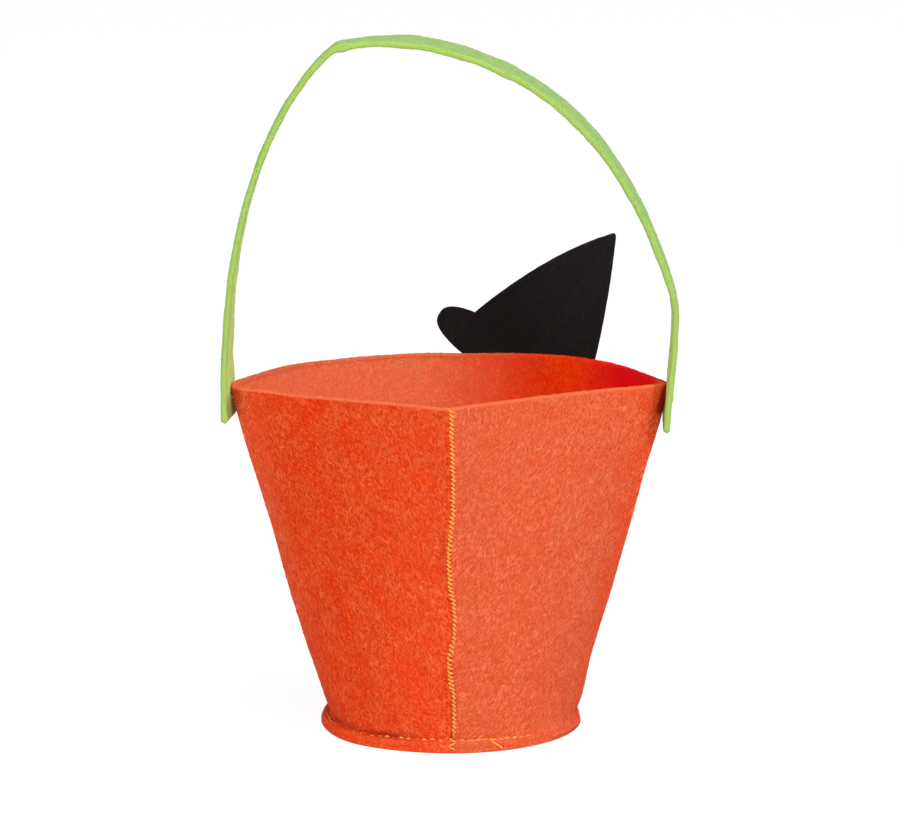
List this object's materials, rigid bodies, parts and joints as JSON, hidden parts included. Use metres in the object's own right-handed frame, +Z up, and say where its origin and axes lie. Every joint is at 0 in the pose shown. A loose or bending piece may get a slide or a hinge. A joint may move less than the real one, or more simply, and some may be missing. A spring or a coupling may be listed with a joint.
{
  "type": "felt halloween basket",
  "caption": "Soft felt trick-or-treat bucket, round at the base and pinched at the mouth, with a strap handle and a witch hat cut-out.",
  "frame": {"origin": "middle of the base disc's underside, on the surface that the basket stands on", "axes": "+Z up through the mouth, -Y to the back with the zigzag seam, +X to the right seen from the back"},
  "size_m": [0.2132, 0.131, 0.3247],
  "materials": {
    "orange_felt": "matt pressed felt",
    "green_felt": "matt pressed felt",
    "black_felt": "matt pressed felt",
    "orange_thread": "polyester sewing thread"
  },
  "bodies": {
    "basket": {"wall_panel": "orange_felt", "base_disc": "orange_felt", "back_seam_thread": "orange_thread", "base_seam_thread": "orange_thread", "left_handle_tack": "orange_thread", "right_handle_tack": "orange_thread", "witch_hat": "black_felt", "left_eye": "black_felt", "right_eye": "black_felt", "nose": "black_felt", "mouth": "black_felt"},
    "handle": {"handle_strap": "green_felt"}
  },
  "joints": [
    {"name": "handle_lean", "type": "hinge", "parent": "basket", "child": "handle", "pos_m": [0, 0, 0.155], "axis": [1, 0, 0], "range_deg": [-40, 40], "stiffness_Nm_per_rad": 0.03}
  ]
}
